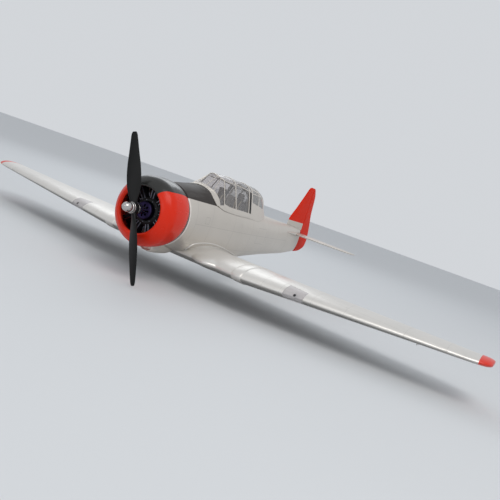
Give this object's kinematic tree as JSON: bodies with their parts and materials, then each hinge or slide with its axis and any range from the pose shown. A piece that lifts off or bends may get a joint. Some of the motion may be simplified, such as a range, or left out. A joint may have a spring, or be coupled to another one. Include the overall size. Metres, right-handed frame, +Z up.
{
  "type": "radio-controlled foam aeroplane",
  "caption": "Low-wing single-engined radio-controlled foam aeroplane with radial-style cowl, glazed cockpit hatch and working control surfaces.",
  "frame": {"origin": "centre of the flat belly pad under the wing centre section, where the model rests", "axes": "+X towards the propeller along the thrust line, +Y towards the left wing tip, +Z up"},
  "size_m": [0.7522, 1.0488, 0.2449],
  "materials": {
    "silver_foam": "satin silver-grey paint on moulded foam, fine bead texture, light handling marks",
    "red_foam": "satin red paint on a thin moulded shell",
    "red_tail_foam": "satin red paint on moulded foam",
    "black_propeller": "satin black moulded nylon",
    "bare_aluminium": "turned and polished aluminium",
    "pushrod_steel": "bright steel wire",
    "carbon_tube": "wrapped carbon fibre tube",
    "plywood": "light birch plywood, laser cut",
    "clear_canopy": "clear vacuum-formed plastic",
    "nylon_white": "white moulded nylon",
    "servo_case": "dark translucent blue servo case",
    "cockpit_dark": "dark grey painted plastic",
    "seat_dark": "dark brown padded seat",
    "battery_wrap": "blue heat-shrink wrap",
    "strap_webbing": "black hook and loop strap",
    "engine_dark": "dark grey moulded engine front with dry-brushed fins",
    "magnet_nickel": "nickel plated"
  },
  "bodies": {
    "airframe": {"wing_centre_section": "silver_foam", "wing_spar_tube": "carbon_tube", "left_outer_wing": "silver_foam", "left_landing_light_lens": "clear_canopy", "left_landing_lamp": "bare_aluminium", "left_aileron_servo": "servo_case", "right_outer_wing": "silver_foam", "right_landing_light_lens": "clear_canopy", "right_landing_lamp": "bare_aluminium", "right_aileron_servo": "servo_case", "fuselage_left_half": "silver_foam", "fuselage_right_half": "silver_foam", "cowl": "red_foam", "chin_scoop": "silver_foam", "firewall": "plywood", "motor_mount": "cockpit_dark", "motor_base": "bare_aluminium", "dummy_radial_engine": "engine_dark", "stabiliser": "silver_foam", "fin": "red_tail_foam", "elevator_servo": "servo_case", "rudder_servo": "servo_case", "servo_tray": "plywood", "battery_tray": "plywood", "battery": "battery_wrap", "battery_strap": "strap_webbing", "speed_controller": "battery_wrap", "receiver": "servo_case", "hatch_keeper_strip": "plywood"},
    "propeller_group": {"motor_bell": "bare_aluminium", "propeller_adapter": "bare_aluminium", "propeller": "black_propeller", "propeller_washer": "bare_aluminium", "spinner_nut": "bare_aluminium"},
    "left_aileron": {"left_aileron": "silver_foam", "left_aileron_horn": "nylon_white"},
    "right_aileron": {"right_aileron": "silver_foam", "right_aileron_horn": "nylon_white"},
    "elevator": {"left_elevator": "silver_foam", "right_elevator": "silver_foam", "elevator_joiner": "pushrod_steel", "elevator_horn": "nylon_white"},
    "rudder": {"rudder": "red_tail_foam", "rudder_horn": "nylon_white"},
    "left_aileron_arm": {"left_aileron_servo_arm": "nylon_white"},
    "left_aileron_rod": {"left_aileron_pushrod": "pushrod_steel"},
    "right_aileron_arm": {"right_aileron_servo_arm": "nylon_white"},
    "right_aileron_rod": {"right_aileron_pushrod": "pushrod_steel"},
    "elevator_arm": {"elevator_servo_arm": "nylon_white"},
    "elevator_rod": {"elevator_pushrod": "pushrod_steel"},
    "rudder_arm": {"rudder_servo_arm": "nylon_white"},
    "rudder_rod": {"rudder_pushrod": "pushrod_steel"},
    "canopy_hatch": {"canopy_glazing": "clear_canopy", "canopy_frame": "silver_foam", "canopy_rear_fairing": "silver_foam", "cockpit_tub": "cockpit_dark", "front_seat": "seat_dark", "rear_seat": "seat_dark", "instrument_coaming": "cockpit_dark", "hatch_magnet": "magnet_nickel"}
  },
  "joints": [
    {"name": "propeller_spin", "type": "hinge", "parent": "airframe", "child": "propeller_group", "pos_m": [0.2132, 0, 0.0631], "axis": [1, 0, 0], "continuous": true},
    {"name": "left_aileron_hinge", "type": "hinge", "parent": "airframe", "child": "left_aileron", "pos_m": [-0.068, 0.3977, 0.02422], "axis": [-0.0153, 0.9997, 0.0181], "range_deg": [-20, 20]},
    {"name": "right_aileron_hinge", "type": "hinge", "parent": "airframe", "child": "right_aileron", "pos_m": [-0.068, -0.3977, 0.02422], "axis": [0.0153, 0.9997, -0.0181], "range_deg": [-20, 20]},
    {"name": "left_aileron_arm_turn", "type": "hinge", "parent": "airframe", "child": "left_aileron_arm", "pos_m": [-0.0322, 0.4112, 0.02126], "axis": [-0.0153, 0.9997, 0.0181], "range_deg": [-20, 20]},
    {"name": "left_aileron_rod_pivot", "type": "hinge", "parent": "left_aileron", "child": "left_aileron_rod", "pos_m": [-0.068, 0.39795, 0.01022], "axis": [-0.0153, 0.9997, 0.0181], "range_deg": [-20, 20]},
    {"name": "right_aileron_arm_turn", "type": "hinge", "parent": "airframe", "child": "right_aileron_arm", "pos_m": [-0.0318, -0.38541, 0.02079], "axis": [0.0153, 0.9997, -0.0181], "range_deg": [-20, 20]},
    {"name": "right_aileron_rod_pivot", "type": "hinge", "parent": "right_aileron", "child": "right_aileron_rod", "pos_m": [-0.068, -0.39795, 0.01022], "axis": [0.0153, 0.9997, -0.0181], "range_deg": [-20, 20]},
    {"name": "elevator_hinge", "type": "hinge", "parent": "airframe", "child": "elevator", "pos_m": [-0.4469, 0, 0.08508], "axis": [0, 1, 0], "range_deg": [-25, 25]},
    {"name": "elevator_arm_turn", "type": "hinge", "parent": "airframe", "child": "elevator_arm", "pos_m": [-0.16564, -0.00955, 0.08508], "axis": [0, 1, 0], "range_deg": [-25, 25]},
    {"name": "elevator_rod_pivot", "type": "hinge", "parent": "elevator", "child": "elevator_rod", "pos_m": [-0.4469, -0.02, 0.07308], "axis": [0, 1, 0], "range_deg": [-25, 25]},
    {"name": "rudder_hinge", "type": "hinge", "parent": "airframe", "child": "rudder", "pos_m": [-0.4469, 0, 0.1], "axis": [0, 0, 1], "range_deg": [-25, 25]},
    {"name": "rudder_arm_turn", "type": "hinge", "parent": "airframe", "child": "rudder_arm", "pos_m": [-0.1558, 0, 0.06064], "axis": [0, 0, 1], "range_deg": [-25, 25]},
    {"name": "rudder_rod_pivot", "type": "hinge", "parent": "rudder", "child": "rudder_rod", "pos_m": [-0.4469, -0.012, 0.06254], "axis": [0, 0, 1], "range_deg": [-25, 25]},
    {"name": "canopy_hatch_lift", "type": "slide", "parent": "airframe", "child": "canopy_hatch", "axis": [0, 0, 1], "range_m": [0, 0.06]}
  ],
  "couplings": [
    {"joint": "right_aileron_hinge", "follows": "left_aileron_hinge", "ratio": -1},
    {"joint": "left_aileron_arm_turn", "follows": "left_aileron_hinge", "ratio": 1},
    {"joint": "left_aileron_rod_pivot", "follows": "left_aileron_hinge", "ratio": -1},
    {"joint": "right_aileron_arm_turn", "follows": "left_aileron_hinge", "ratio": -1},
    {"joint": "right_aileron_rod_pivot", "follows": "left_aileron_hinge", "ratio": 1},
    {"joint": "elevator_arm_turn", "follows": "elevator_hinge", "ratio": 1},
    {"joint": "elevator_rod_pivot", "follows": "elevator_hinge", "ratio": -1},
    {"joint": "rudder_arm_turn", "follows": "rudder_hinge", "ratio": 1},
    {"joint": "rudder_rod_pivot", "follows": "rudder_hinge", "ratio": -1}
  ]
}
